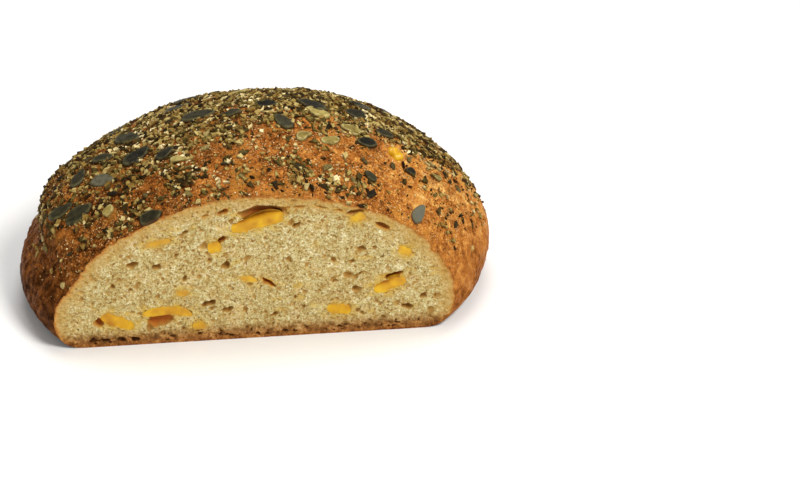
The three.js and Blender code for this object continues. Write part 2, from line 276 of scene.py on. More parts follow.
def crust_point(bearing, reach, height):
    """Points of the crust: reach is 0 at the middle of crown or base, and 1 at the belly."""
    bearing, reach, height = np.broadcast_arrays(bearing, reach, height)
    dome = height > BELLY_HEIGHT
    lean = np.where(dome, 1 - reach, 0)
    out = reach * plan_radius(bearing) - dent(TUCK, bearing, height) - dent(SHOULDER, bearing, height)
    x = out * np.cos(bearing) + CROWN_LEAN[0] * lean
    y = out * np.sin(bearing) + CROWN_LEAN[1] * lean
    push = swell(x, y, height)
    rise = np.where(dome, np.sqrt(np.clip(1 - reach ** 2, 0, None)), 0)
    return np.stack([
        x + push * reach * np.cos(bearing) + MIDDLE_X,
        y + push * reach * np.sin(bearing) + MIDDLE_Y,
        height + push * rise,
    ], axis=-1)


def softened(reach):
    return np.hypot(reach, CROWN_SOFTNESS) ** DOME_REACH_POWER


def dome_height(reach):
    fall = (softened(reach) - softened(0)) / (softened(1) - softened(0))
    rise = np.clip(1 - fall, 0, None) ** (1 / DOME_RISE_POWER)
    return BELLY_HEIGHT + (HEIGHT - BELLY_HEIGHT) * rise


def on_dome(bearing, reach):
    return crust_point(bearing, reach, dome_height(reach))


def unit(v):
    return v / np.linalg.norm(v, axis=-1, keepdims=True)


def dome_frames(bearing, reach, heading):
    """Places on the dome and their axes: along the heading, across it, and out of the crust."""
    step = 1e-3
    at = on_dome(bearing, reach)
    round_it = unit(on_dome(bearing + step, reach) - on_dome(bearing - step, reach))
    down = on_dome(bearing, reach + step) - on_dome(bearing, np.maximum(0, reach - step))
    out = unit(np.cross(down, round_it))
    up = np.cross(out, round_it)
    along = round_it * np.cos(heading)[..., None] + up * np.sin(heading)[..., None]
    return at, np.stack([along, np.cross(out, along), out], axis=-2)


# ------------------------------------------------------------------ meshes

def make_object(name, points, faces, smooth_shaded=True):
    """A mesh object from points in millimetres and triangles."""
    mesh = bpy.data.meshes.new(name)
    mesh.vertices.add(len(points))
    mesh.vertices.foreach_set("co", (np.asarray(points) * MM).ravel())
    mesh.loops.add(faces.size)
    mesh.loops.foreach_set("vertex_index", faces.astype(np.int32).ravel())
    mesh.polygons.add(len(faces))
    mesh.polygons.foreach_set("loop_start", np.arange(0, faces.size, 3, dtype=np.int32))
    mesh.update(calc_edges=True)
    mesh.validate()
    if smooth_shaded:
        mesh.shade_smooth()
    else:
        mesh.shade_flat()
    made = bpy.data.objects.new(name, mesh)
    bpy.context.collection.objects.link(made)
    return made


def points_of(piece):
    co = np.zeros(len(piece.data.vertices) * 3)
    piece.data.vertices.foreach_get("co", co)
    return co.reshape(-1, 3) / MM


def set_attributes(piece, **layers):
    for name, values in layers.items():
        layer = piece.data.attributes.new(name, "FLOAT", "POINT")
        layer.data.foreach_set("value", np.asarray(values, np.float32).ravel())


def finish_piece(piece, material, node):
    piece.data.materials.append(material)
    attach(piece, "root")
    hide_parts(node)


def cut_at_plane(piece, fill):
    """Takes away what lies in front of the cut, and closes what it opened where fill is set."""
    work = bmesh.new()
    work.from_mesh(piece.data)
    everything = work.verts[:] + work.edges[:] + work.faces[:]
    made = bmesh.ops.bisect_plane(work, geom=everything, dist=1e-7, plane_co=(0, CUT_Y * MM, 0),
                                  plane_no=(0, -1, 0), clear_outer=True)
    if fill:
        cut = [e for e in made["geom_cut"] if isinstance(e, bmesh.types.BMEdge)]
        bmesh.ops.triangulate(work, faces=bmesh.ops.contextual_create(work, geom=cut)["faces"])
    bmesh.ops.triangulate(work, faces=work.faces[:])
    work.to_mesh(piece.data)
    work.free()


# ------------------------------------------------------------------ crust

def profile():
    """(reach, height) from the base's middle out, up the side and in to the crown, evenly spaced."""
    turn = np.linspace(0, math.pi / 2, 400)
    base = columns(np.linspace(0, BASE_REACH, 400), np.zeros(400))
    side_reach = BASE_REACH + (1 - BASE_REACH) * np.sin(turn) ** (2 / BASE_POWER)
    side = columns(side_reach, BELLY_HEIGHT * (1 - np.cos(turn) ** (2 / BASE_POWER)))
    reach = np.cos(turn) ** (2 / DOME_REACH_POWER)
    dome = columns(reach, dome_height(reach))
    rows = []
    for line, step in ((base, BASE_STEP), (np.concatenate([side, dome]), CRUST_STEP)):
        mean_radius = (HALF_WIDTH + HALF_DEPTH) / 2
        length = np.concatenate([[0], np.cumsum(np.hypot(*(np.diff(line, axis=0) * [mean_radius, 1]).T))])
        at = np.linspace(0, length[-1], int(length[-1] / step))
        rows.append(np.stack([np.interp(at, length, line[:, k]) for k in (0, 1)], axis=1))
    return np.concatenate([rows[0][1:], rows[1][1:-1]])


def ring_counts(rows):
    """Points round each ring: fewer near the middle and on the base, by halves, one at a time."""
    fewest = CRUST_AROUND // 32
    wanted = []
    for reach, height in rows:
        share = reach * (CRUST_STEP / BASE_STEP if height == 0 else 1)
        wanted.append(max(fewest, CRUST_AROUND / 2 ** round(math.log2(1 / max(share, 0.03)))))
    for i in range(1, len(wanted)):
        wanted[i] = min(wanted[i], 2 * wanted[i - 1])
    for i in range(len(wanted) - 2, -1, -1):
        wanted[i] = min(wanted[i], 2 * wanted[i + 1])
    return [int(n) for n in wanted]


def stitch(start_a, n_a, start_b, n_b):
    """Triangles between two rings, the second of which has as many points, half or twice."""
    if n_a == n_b:
        i = np.arange(n_a)
        j = (i + 1) % n_a
        lower = columns(start_a + i, start_a + j, start_b + j)
        upper = columns(start_a + i, start_b + j, start_b + i)
        return np.concatenate([lower, upper])
    if n_a > n_b:
        i = np.arange(n_b)
        j = (i + 1) % n_b
        a0, a1, a2 = start_a + 2 * i, start_a + 2 * i + 1, start_a + (2 * i + 2) % n_a
        return np.concatenate([
            columns(a0, a1, start_b + i),
            columns(a1, start_b + j, start_b + i),
            columns(a1, a2, start_b + j),
        ])
    return stitch(start_b, n_b, start_a, n_a)[:, ::-1]


def crust_relief(points):
    """How far the crust stands proud of its smooth form: blisters, coarse flour and cracks."""
    blisters = 0.55 * clouds(points, 9, 3)
    coarse = 0.4 * clouds(points, 3.2, 5, 2)
    cracks = -0.6 * smooth(0.86, 1, 1 - np.abs(clouds(points, 16, 9, 2)) * 2.2)
    grit = 0.26 * noise(points, 1.7, 12)
    return blisters + coarse + cracks + grit


def make_crust():
    rows = profile()
    counts = ring_counts(rows)
    starts = np.concatenate([[0], np.cumsum(counts)])
    points = [
        crust_point(np.arange(n) * TAU / n, reach, height)
        for n, (reach, height) in zip(counts, rows)
    ]
    base_pole, crown_pole = starts[-1], starts[-1] + 1
    points += [crust_point(0.0, 0.0, 0.0)[None], crust_point(0.0, 0.0, float(HEIGHT))[None]]
    faces = [stitch(starts[i], counts[i], starts[i + 1], counts[i + 1]) for i in range(len(rows) - 1)]
    for pole, ring, flip in ((base_pole, 0, True), (crown_pole, len(rows) - 1, False)):
        i = np.arange(counts[ring])
        fan = columns(starts[ring] + i, starts[ring] + (i + 1) % counts[ring], i * 0 + pole)
        faces.append(fan[:, ::-1] if flip else fan)
    crust = make_object("crust", np.concatenate(points), np.concatenate(faces))

    co = points_of(crust)
    normal = np.zeros(len(co) * 3)
    crust.data.vertex_normals.foreach_get("vector", normal)
    relief = crust_relief(co) * lerp(0.25, 1, smooth(0, 14, co[:, 2]))
    co += normal.reshape(-1, 3) * relief[:, None]
    co[:, 2] = np.maximum(co[:, 2], 0)
    crust.data.vertices.foreach_set("co", (co * MM).ravel())
    cut_at_plane(crust, fill=False)
    return crust


def cut_outline(crust):
    """The crust's edge at the cut as points in x and z, in order round the face."""
    co = points_of(crust)
    edge = co[np.abs(co[:, 1] - CUT_Y) < 1e-3][:, [0, 2]]
    turn = np.arctan2(edge[:, 1] - FACE_HEIGHT / 2, edge[:, 0])
    return edge[np.argsort(turn)]


def paint_crust(crust):
    """How brown each place of the crust is, partly from baking and partly painted shade on its left side
    and lower parts, and how much golden grain shows.
    """
    co = points_of(crust)
    x, y, z = co.T
    bake = 0.5 + 0.16 * clouds(co, 26, 40) + 0.18 * clouds(co, 7, 41)
    # Baking and painted shade together: browner towards the left, lighter to the right, darker towards the
    # belly and darkest at the foot
    bake += 0.15 * smooth(10, -80, x) - 0.15 * smooth(10, 65, x)
    bake += 0.17 * smooth(48, 10, z) + 0.3 * smooth(7, 0.5, z)
    golden = smooth(0.2, 0.5, clouds(co, 12, 47, 2)) * smooth(34, 50, z)
    grain = smooth(18, 52, z) * (0.6 + 0.4 * clouds(co, 14, 44))
    set_attributes(crust, bake=bake, golden=golden, grain=grain)


# ------------------------------------------------------------------ crumb

def bubble_list():
    """The bubbles that the solid has, as (x, z, length, height, depth, tilt)."""
    random = random_stream(BUBBLES["seed"])
    taken = [(c[1], c[2], c[3] / 2) for c in CHUNKS] + [(h[0], h[1], h[2] / 2) for h in HOLLOWS]
    made = []
    while len(made) < BUBBLES["count"]:
        x = (2 * next(random) - 1) * FACE_HALF_WIDTH
        z = BUBBLES["lowest"] + next(random) * FACE_HEIGHT
        length = lerp(BUBBLES["shortest"], BUBBLES["longest"], next(random) ** 2)
        on_face = math.hypot(x / FACE_HALF_WIDTH, z / FACE_HEIGHT) < 1
        apart = length / 2 + BUBBLES["apart"]
        if on_face and all(math.hypot(tx - x, tz - z) > radius + apart for tx, tz, radius in taken):
            taken.append((x, z, length / 2))
            height = length * (0.45 + 0.35 * next(random))
            made.append((x, z, length, height, 0.5 * length, 70 * next(random) - 10))
    for i in range(BASE_BUBBLES["count"]):
        x = BASE_BUBBLES["from"] + i * BASE_BUBBLES["step"]
        made.append((x, *(BASE_BUBBLES[k] for k in ("z", "length", "height", "depth")), 0))
    return made


class Face:
    """The cut face as a grid of depths behind the cut, which pores are pressed into."""

    def __init__(self):
        self.x = np.arange(*CRUMB_X, CRUMB_CELL)
        self.z = np.arange(*CRUMB_Z, CRUMB_CELL)
        self.grid_x, self.grid_z = np.meshgrid(self.x, self.z, indexing="ij")
        self.depth = np.zeros_like(self.grid_x)
        self.stain = np.zeros_like(self.grid_x)
        self.yellow = np.zeros_like(self.grid_x)
        flat = self.flat_points()
        shape = self.grid_x.shape
        self.warps = {
            size: (noise(flat, size, 60).reshape(shape), noise(flat, size, 61).reshape(shape))
            for size in (0.9, 2.4)
        }

    def flat_points(self):
        return np.stack([self.grid_x, np.zeros_like(self.grid_x), self.grid_z], axis=-1).reshape(-1, 3)

    def window(self, x, z, radius):
        i0, i1 = np.searchsorted(self.x, (x - radius, x + radius))
        j0, j1 = np.searchsorted(self.z, (z - radius, z + radius))
        return slice(i0, i1), slice(j0, j1)

    def spread(self, x, z, length, height, tilt, ragged=0.3):
        """A window of the face, and how far out in the ragged oval each point of it lies."""
        at = self.window(x, z, length * 0.5 + height * 0.5 + 0.6)
        warp_x, warp_z = self.warps[0.9 if length < 3 else 2.4]
        dx = self.grid_x[at] - x + ragged * length / 2 * warp_x[at]
        dz = self.grid_z[at] - z + ragged * height / 2 * warp_z[at]
        c, s = cos_sin(tilt)
        return at, np.hypot((dx * c + dz * s) * 2 / length, (dz * c - dx * s) * 2 / height)

    def press(self, x, z, length, height, depth, tilt, steep=0.5, ragged=0.3):
        at, out = self.spread(x, z, length, height, tilt, ragged)
        pit = depth * np.clip(1 - out ** 2, 0, None) ** steep
        self.depth[at] = np.maximum(self.depth[at], pit)

    def tint(self, layer, x, z, length, height, tilt, amount):
        at, out = self.spread(x, z, length, height, tilt)
        layer[at] = np.maximum(layer[at], amount * smooth(1, 0.35, out))


def press_pores(face):
    """Thousands of pores: nearly all small and shallow, some long, a few wide and soft."""
    random = np.random.default_rng(5)
    for count, shortest, longest, deepness, steep in PORES:
        for _ in range(count):
            x, z = random.uniform(-94, 94), random.uniform(1.5, 74)
            length = random.uniform(shortest, longest)
            height = length * random.uniform(0.45, 1)
            depth = deepness * height * random.uniform(0.6, 1.3)
            face.press(x, z, length, height, depth, random.normal(-0.3 * x, 35), steep)


def press_pocket(face, node, x, z, length, height, depth, tilt):
    """The pocket that a chunk fills: a row of pits along its arch."""
    bend = BENDS.get(node, CHUNK_BEND)
    c, s = cos_sin(tilt)
    for share in np.linspace(-0.78, 0.78, 11):
        along = share * length / 2
        up = bend * (0.5 - share ** 2) * height / 2
        tall = 0.86 * height * (1 - abs(share) ** 2.9) ** 0.35
        face.press(x + along * c - up * s, z + along * s + up * c, length / 5, tall, depth / 2 + 0.8, tilt,
                   0.25, 0.04)


def press_hollows(face):
    for x, z, length, height, depth, tilt in HOLLOWS:
        x += MIDDLE_X
        face.press(x, z, length, height, depth, tilt, ragged=0.15)
        face.tint(face.stain, x, z, length + 3, height + 2.4, tilt, 0.95)
    for x, z, length, height, depth, tilt in bubble_list():
        face.press(x + MIDDLE_X, z, length, height, depth, tilt, ragged=0.55)
    for x, z, length, tilt in CREVICES:
        x += MIDDLE_X
        face.press(x, z, length, 1.3, 1.4, tilt, ragged=0.5)
        face.tint(face.stain, x, z, length + 2, 2.6, tilt, 0.8)
    for node, x, z, length, height, depth, tilt in CHUNKS:
        x += MIDDLE_X
        press_pocket(face, node, x, z, length, height, depth, tilt)
        face.tint(face.stain, x, z, length + 3, height + 2.6, tilt, 0.55)
        face.tint(face.yellow, x, z, 1.5 * length + 5, 2 * height + 4, tilt, 0.6)
    random = np.random.default_rng(6)
    for _ in range(YELLOW_TINTS):
        x, z = random.uniform(-85, 85), random.uniform(8, 66)
        length, height = random.uniform(4, 11), random.uniform(2, 5)
        face.tint(face.yellow, x, z, length, height, random.normal(10, 20), 0.45)
    for _ in range(BASE_PITS):
        x, z = random.uniform(-86, 86), random.uniform(1.2, 5)
        length, height = random.uniform(1.2, 3), random.uniform(0.9, 1.7)
        face.press(x, z, length, height, 1.4, random.normal(0, 15), ragged=0.5)


def with_area(points, faces):
    """The triangles that still have a surface once their corners have been moved."""
    a, b, c = (points[faces[:, k]] for k in range(3))
    return faces[np.linalg.norm(np.cross(b - a, c - a), axis=1) > SLIVER]


def distance_to(outline, points):
    """From each point to the nearest place of a closed line, and that place."""
    nearest = np.full(len(points), np.inf)
    place = np.zeros_like(points)
    following = np.roll(outline, -1, axis=0)
    for a, b in zip(outline, following):
        along = b - a
        t = np.clip((points - a) @ along / max(along @ along, 1e-9), 0, 1)
        there = a + t[:, None] * along
        gap = np.hypot(*(points - there).T)
        closer = gap < nearest
        nearest[closer] = gap[closer]
        place[closer] = there[closer]
    return nearest, place


def inside(outline, points):
    """Whether points lie in a line that goes once round the middle of the face."""
    middle = np.array([0, FACE_HEIGHT / 2])
    turn = np.arctan2(*(outline - middle).T[::-1])
    radius = np.hypot(*(outline - middle).T)
    at = np.arctan2(*(points - middle).T[::-1])
    return np.hypot(*(points - middle).T) < np.interp(at, turn, radius, period=TAU)


def make_crumb(outline):
    """The cut face: a fine grid trimmed to the crust's edge, with its pores as real hollows."""
    face = Face()
    press_pores(face)
    press_hollows(face)
    flat = face.flat_points()
    shape = face.grid_x.shape
    centre = flat[:, [0, 2]] + CRUMB_CELL / 2
    kept = inside(outline, centre).reshape(shape)[:-1, :-1]
    index = np.arange(face.grid_x.size).reshape(shape)
    corners = [index[:-1, :-1], index[1:, :-1], index[1:, 1:], index[:-1, 1:]]
    a, b, c, d = (corner[kept] for corner in corners)
    faces = np.concatenate([columns(a, b, c), columns(a, c, d)])

    used, faces = np.unique(faces, return_inverse=True)
    faces = faces.reshape(-1, 3)
    cells_at = np.zeros(face.grid_x.size, int)
    for corner in (a, b, c, d):
        np.add.at(cells_at, corner, 1)
    rim = cells_at[used] < 4
    sparse = outline[::3]
    flat = flat[used]
    edge, _ = distance_to(sparse, flat[:, [0, 2]])
    edge_at_rim, place = distance_to(outline, flat[rim][:, [0, 2]])
    flat[rim, 0], flat[rim, 2] = place[:, 0], place[:, 1]
    edge[rim] = 0

    depth = face.depth.ravel()[used]
    rough = 0.16 * clouds(flat, 1.6, 70, 2) + 0.2 * clouds(flat, 6, 71, 2) + 0.16
    depth = (depth + np.clip(rough, 0, None)) * smooth(0, 1.6, edge)
    points = flat.copy()
    points[:, 1] = CUT_Y + depth
    crumb = make_object("crumb", points, with_area(points, faces))
    stain, yellow = face.stain.ravel()[used], face.yellow.ravel()[used]
    set_attributes(crumb, hollow=depth, edge=edge, stain=stain, yellow=yellow, height=flat[:, 2])
    return crumb


# ------------------------------------------------------------------ pumpkin

def lump(length, height, depth, bend=CHUNK_BEND, around=64, along=36):
    """A rounded lump with its middle at the origin: points, triangles, and how far out each point is."""
    squareness, ripple = 0.7, 0.1
    turn = np.arange(around) * TAU / around
    fall = np.arange(1, along) * math.pi / along
    t, f = np.meshgrid(turn, fall)
    x = np.sin(f) * np.cos(t)
    z = np.sin(f) * np.sin(t)
    y = -np.cos(f)
    ball = np.stack([x, y, z], axis=-1).reshape(-1, 3)
    ball = np.concatenate([ball, [[0, -1, 0], [0, 1, 0]]])
    x = np.sign(ball[:, 0]) * np.abs(ball[:, 0]) ** squareness
    z = np.sign(ball[:, 2]) * np.abs(ball[:, 2]) ** squareness
    z += bend * (0.5 - x ** 2) + ripple * np.sin(5 * x)
    points = columns(x * length / 2, ball[:, 1] * depth / 2, z * height / 2)
    faces = [stitch(i * around, around, (i + 1) * around, around) for i in range(along - 2)]
    front, back = len(points) - 2, len(points) - 1
    i = np.arange(around)
    j = (i + 1) % around
    last = (along - 2) * around
    faces.append(columns(j, i, i * 0 + front))
    faces.append(columns(last + i, last + j, i * 0 + back))
    return points, np.concatenate(faces), np.hypot(ball[:, 0], ball[:, 2])


def make_chunk(node, x, z, length, height, depth, tilt, material):
    """One chunk of pumpkin, sliced flat where the knife went through, with its fibres raised."""
    points, faces, out = lump(length + 0.4, height + 0.5, depth, BENDS.get(node, CHUNK_BEND))
    seed = int(abs(x) * 10)
    thin = smooth(5, 2.8, height)
    points += lerp(0.3, 0.6, thin) * noise(points, lerp(3.4, 2.2, thin), seed)[:, None] * unit(points)
    front = -0.001
    sliced = points[:, 1] < front
    points[:, 1] = np.maximum(points[:, 1], front)
    c, s = cos_sin(tilt)
    along, deep, up = points.T
    turned = columns(along * c - up * s, deep, along * s + up * c)
    fibres = clouds(points * [0.4, 1, 1], 2.6, seed + 1)
    upper = points[:, 2] * 2 / height
    # How far up towards the hollow above a point lies: the edge draws back there, and the material paints
    # shade there
    roofed = ROOFED.get(node, 0) * smooth(0.15, 1.0, upper + 0.15 * noise(points, 6, seed + 2))
    fall_back = DRAW_BACK * roofed ** 2
    turned[:, 1] += np.where(sliced, 0.16 * np.clip(fibres + 0.6, 0, None) + fall_back, 0)
    turned += [x + MIDDLE_X, CUT_Y + RECESS, z]
    chunk = make_object(node + "_flesh", turned, faces)
    border = thin * np.clip(0.3 + 0.8 * smooth(0.3, 1, out), 0, 1)
    set_attributes(chunk, shade=fibres, roofed=roofed, border=border)
    finish_piece(chunk, material, node)


def make_crust_chunk(material):
    place = CRUST_CHUNK
    points, faces, _ = lump(place["length"], 5, place["width"])
    points += 0.5 * noise(points, 2.2, 5)[:, None] * unit(points)
    at, axes = dome_frames(math.radians(place["bearing"]), place["reach"],
                           np.array(math.radians(place["heading"])))
    chunk = make_object(place["node"] + "_flesh", at + points @ axes, faces)
    nowhere = 0 * points[:, 0]
    set_attributes(chunk, shade=clouds(points, 1.5, 7), roofed=nowhere, border=nowhere)
    finish_piece(chunk, material, place["node"])


# ------------------------------------------------------------------ seeds and bits

def back_seeds():
    random = random_stream(BACK_SEEDS["seed"])
    count = BACK_SEEDS["count"]
    made = []
    for i in range(count):
        bearing = lerp(BACK_SEEDS["from"], BACK_SEEDS["to"], (i * 7 % count) / count) + 6 * next(random)
        reach = lerp(BACK_SEEDS["nearest"], BACK_SEEDS["farthest"], i / count) + 0.04 * next(random)
        made.append((bearing, reach, 180 * next(random), 12 + 5 * next(random)))
    return made


def seed_form(around=36, rings=9):
    """A flat pumpkin seed of unit size: points, faces, and how near the raised rim each point is."""
    out = np.linspace(0, 1, rings + 1)[1:]
    turn = np.arange(around) * TAU / around
    t, r = np.meshgrid(turn, out)
    x = r * np.cos(t)
    point = 1 - SEED_TAPER * x - 0.22 * np.clip(x, 0, None) ** 3
    y = r * np.sin(t) * point
    rim = np.exp(-((r - 0.86) / 0.09) ** 2)
    top = (1 - r ** 4) ** 0.5 * 0.75 + 0.26 * rim
    above = np.stack([x, y, top], axis=-1).reshape(-1, 3)
    below = np.stack([x, y, -(1 - r ** 4) ** 0.5], axis=-1).reshape(-1, 3)[: (rings - 1) * around]
    points = np.concatenate([above, [[0, 0, 0.75]], below, [[0, 0, -1]]])
    rim = np.concatenate([rim.ravel(), [0], rim.ravel()[: (rings - 1) * around], [0]])
    i = np.arange(around)
    j = (i + 1) % around
    top_pole = rings * around
    faces = [columns(i, j, i * 0 + top_pole)]
    faces += [stitch((k + 1) * around, around, k * around, around) for k in range(rings - 1)]
    lower = top_pole + 1
    for k in range(rings - 2):
        faces.append(stitch(lower + k * around, around, lower + (k + 1) * around, around))
    faces.append(stitch(lower + (rings - 2) * around, around, (rings - 1) * around, around))
    faces.append(columns(lower + j, lower + i, i * 0 + len(points) - 1))
    return points, np.concatenate(faces), rim


def place_copies(forms, picks, sizes, at, axes):
    """Copies of small forms, joined: each scaled, turned to its axes and set in its place."""
    points, faces = zip(*forms)
    count = len(points[0])
    local = np.stack(points)[picks] * sizes[:, None, :]
    placed = np.einsum("kni,kij->knj", local, axes) + at[:, None, :]
    index = np.stack(faces)[picks] + (np.arange(len(picks)) * count)[:, None, None]
    return placed.reshape(-1, 3), index.reshape(-1, 3), count


def tilted(axes, tilt):
    c, s = np.cos(tilt)[:, None], np.sin(tilt)[:, None]
    return columns(axes[:, 0] * c + axes[:, 2] * s, axes[:, 1], axes[:, 2] * c - axes[:, 0] * s)


def seed_frames(table):
    return dome_frames(np.radians(table[:, 0]), table[:, 1], np.radians(table[:, 2]))


def half_width(length):
    """Half the width of whole seeds: the shorter ones are rounder."""
    return (SEED_WIDTH_SHARE * length + SEED_SPARE_WIDTH) / 2


def add_topping(name, points, faces, slot, material, smooth_shaded=False, **layers):
    """A piece of seeds or bits, cut off where it reaches past the cut."""
    made = make_object(name, points, faces, smooth_shaded)
    set_attributes(made, **layers)
    cut_at_plane(made, fill=True)
    finish_piece(made, material, "loaf")


def make_seeds(name, seeds, slot, material, seed, ragged):
    random = np.random.default_rng(seed)
    table = np.array(seeds, float)
    at, axes = seed_frames(table)
    axes = tilted(axes, random.normal(0, 0.06, len(table)))
    length = table[:, 3]
    sizes = columns(length / 2, half_width(length), np.full(len(table), SEED_THICKNESS / 2))
    at = at + axes[:, 2] * SEED_PROUD
    form, faces, rim = seed_form()
    points, faces, count = place_copies([(form, faces)], np.zeros(len(table), int), sizes, at, axes)
    rough = 0.28 * noise(points, 2.4, seed) + 0.3 * noise(points, 6, seed + 1)
    along, across, out = np.repeat(axes, count, axis=0).transpose(1, 0, 2)
    points += rough[:, None] * out
    points += ragged * noise(points, 3.2, seed + 2)[:, None] * across
    points += ragged * noise(points, 3.0, seed + 5)[:, None] * along
    kind = 0.62 * random.random(len(table))
    kind = np.array([SILVERY_SEEDS.get(tuple(placed), tone) for placed, tone in zip(seeds, kind)])
    foot = smooth(0.35, -0.5, form[:, 2])
    layers = {"foot": foot, "rim": rim, "along": form[:, 0], "across": form[:, 1]}
    layers = {key: np.tile(values, len(table)) for key, values in layers.items()}
    add_topping(name, points, faces, slot, material, True, kind=np.repeat(kind, count), **layers)


def all_seeds():
    return DARK_SEEDS + PALE_SEEDS + back_seeds()


def broken_seeds():
    """The solid's large chopped bits, by the same rule: places, axes and lengths."""
    random = random_stream(BITS["seed"])
    golden_angle = math.pi * (3 - math.sqrt(5))
    draws = np.array([[next(random) for _ in range(5)] for _ in range(BITS["tries"])])
    i = np.arange(1, BITS["tries"] + 1)
    bearing = i * golden_angle + 0.2 * draws[:, 0]
    length = lerp(BITS["shortest"], BITS["longest"], draws[:, 1])
    at, axes = dome_frames(bearing, 0.97 * (i / BITS["tries"]) ** BITS["crowding"], math.pi * draws[:, 2])
    turn_x, turn_y = 0.4 * (draws[:, 3:].T - 0.5)
    for k, (x, y) in enumerate(zip(turn_x, turn_y)):
        turned = Matrix.Rotation(y, 3, "Y") @ Matrix.Rotation(x, 3, "X")
        axes[k] = np.array(turned).T @ axes[k]

    places = all_seeds() + [tuple(CRUST_CHUNK[key] for key in ("bearing", "reach", "heading", "length"))]
    taken = [(on_dome(math.radians(p[0]), p[1]), p[3] / 2) for p in places]
    middle = np.array([MIDDLE_X + BARE["x"], MIDDLE_Y + BARE["y"]])
    kept = []
    for k in range(BITS["tries"]):
        clear = all(np.linalg.norm(t - at[k]) > r + length[k] / 2 + BITS["apart"] for t, r in taken)
        outside = np.linalg.norm(at[k, :2] - middle) > BARE["radius"]
        if clear and outside and at[k, 1] > CUT_Y + length[k]:
            taken.append((at[k], length[k] / 2))
            kept.append(k)
    return at[kept], axes[kept], length[kept]


def stack_faces(corners, levels):
    """The triangles of a closed stack of rings: its underside, its sides and its top."""
    i = np.arange(corners)
    j = (i + 1) % corners
    fan = np.arange(1, corners - 1)
    faces = [columns(fan * 0, fan + 1, fan)]
    for level in range(levels):
        low = level * corners
        high = low + corners
        faces += [columns(i + low, j + low, j + high), columns(i + low, j + high, i + high)]
    return np.concatenate([*faces, columns(fan * 0, fan, fan + 1) + levels * corners])


def broken_forms(random, corners=18, count=20):
    """Halves and corners of flat seeds: round where the seed was whole, straight where it broke."""
    faces = stack_faces(corners, 2)
    turn = np.arange(corners) * TAU / corners
    forms = []
    for _ in range(count):
        ring = columns(1.25 * np.cos(turn), np.sin(turn))
        ring[:, 0] = np.minimum(ring[:, 0], random.uniform(0.3, 0.8) + 0.3 * ring[:, 1] * random.normal())
        ring[:, 1] = np.maximum(ring[:, 1], random.uniform(-1, -0.4))
        ring += random.normal(0, 0.05, ring.shape)
        crown = random.normal(0, 0.08, (corners, 1)) + 0.2 * ring[:, :1] * random.normal()
        forms.append((np.concatenate([
            np.hstack([0.92 * ring, 0 * crown - 1]),
            np.hstack([ring, 0.45 + crown]),
            np.hstack([0.72 * ring, 0.85 + crown]),
        ]), faces))
    return forms


def make_broken_seeds(slot, material):
    random = np.random.default_rng(31)
    at, axes, length = broken_seeds()
    sizes = columns(length / 2, BIT_WIDTH * length / 2, np.full(len(at), BIT_THICKNESS / 2))
    forms = broken_forms(random)
    points, faces, each = place_copies(forms, random.integers(0, len(forms), len(at)), sizes, at, axes)
    along, across, out = np.repeat(axes, each, axis=0).transpose(1, 0, 2)
    points += 0.3 * noise(points, 1.6, 32)[:, None] * out
    points += 0.35 * noise(points, 2.1, 33)[:, None] * along
    points += 0.35 * noise(points, 2.1, 34)[:, None] * across
    kind = np.repeat(random.random(len(at)), each)
    foot = np.tile(np.repeat([1.0, 0.35, 0.0], each // 3), len(at))
    add_topping("broken_seeds", points, faces, slot, material, kind=kind, foot=foot)


def under_seeds(at):
    """Which places of the crust a whole or broken seed covers."""
    table = np.array(all_seeds(), float)
    middles, axes = seed_frames(table)
    half = columns(table[:, 3] / 2, half_width(table[:, 3]))
    more, more_axes, length = broken_seeds()
    middles = np.concatenate([middles, more])
    axes = np.concatenate([axes, more_axes])
    half = np.concatenate([half, 0.4 * columns(length, BIT_WIDTH * length)])
    covered = np.zeros(len(at), bool)
    for middle, (along, across, out), (long, wide) in zip(middles, axes, half):
        away = at - middle
        near = np.abs(away @ out) < 4
        covered |= near & (np.hypot(away @ along / long, away @ across / wide) < 0.9)
    return covered


def shard_forms(random, corners, count=24):
    """Chopped pieces of unit size: flat, with uneven corners and a smaller upper side."""
    faces = stack_faces(corners, 1)
    forms = []
    for _ in range(count):
        turn = (np.arange(corners) + random.uniform(-0.3, 0.3, corners)) * TAU / corners
        ring = columns(np.cos(turn), np.sin(turn)) * random.uniform(0.65, 1.2, (corners, 1))
        upper = ring * random.uniform(0.65, 0.92, (corners, 1))
        height = random.uniform(0.5, 1.1, (corners, 1))
        points = np.concatenate([np.hstack([ring, 0 * height - 1]), np.hstack([upper, height])])
        forms.append((points, faces))
    return forms


def strewn(random, tries, shortest, longest, spread):
    """Places, axes and sizes of bits strewn over the crust, where spread says how thickly."""
    bearing = random.uniform(0, TAU, tries)
    reach = random.uniform(0, 1, tries) ** 0.5 * 0.995
    at = on_dome(bearing, reach)
    kept = (random.random(tries) < spread(at)) & (at[:, 1] > CUT_Y - 2)
    kept &= ~under_seeds(at) | (random.random(tries) < 0.1)
    bearing, reach = bearing[kept], reach[kept]
    count = len(bearing)
    at, axes = dome_frames(bearing, reach, random.uniform(0, TAU, count))
    length = lerp(shortest, longest, random.random(count) ** 2.3)
    width = length * random.uniform(0.35, 0.85, count)
    thickness = np.clip(length * random.uniform(0.22, 0.5, count), 0.4, 1.3)
    axes = tilted(axes, random.normal(0, 0.35, count))
    return at, axes, columns(length, width, thickness) / 2


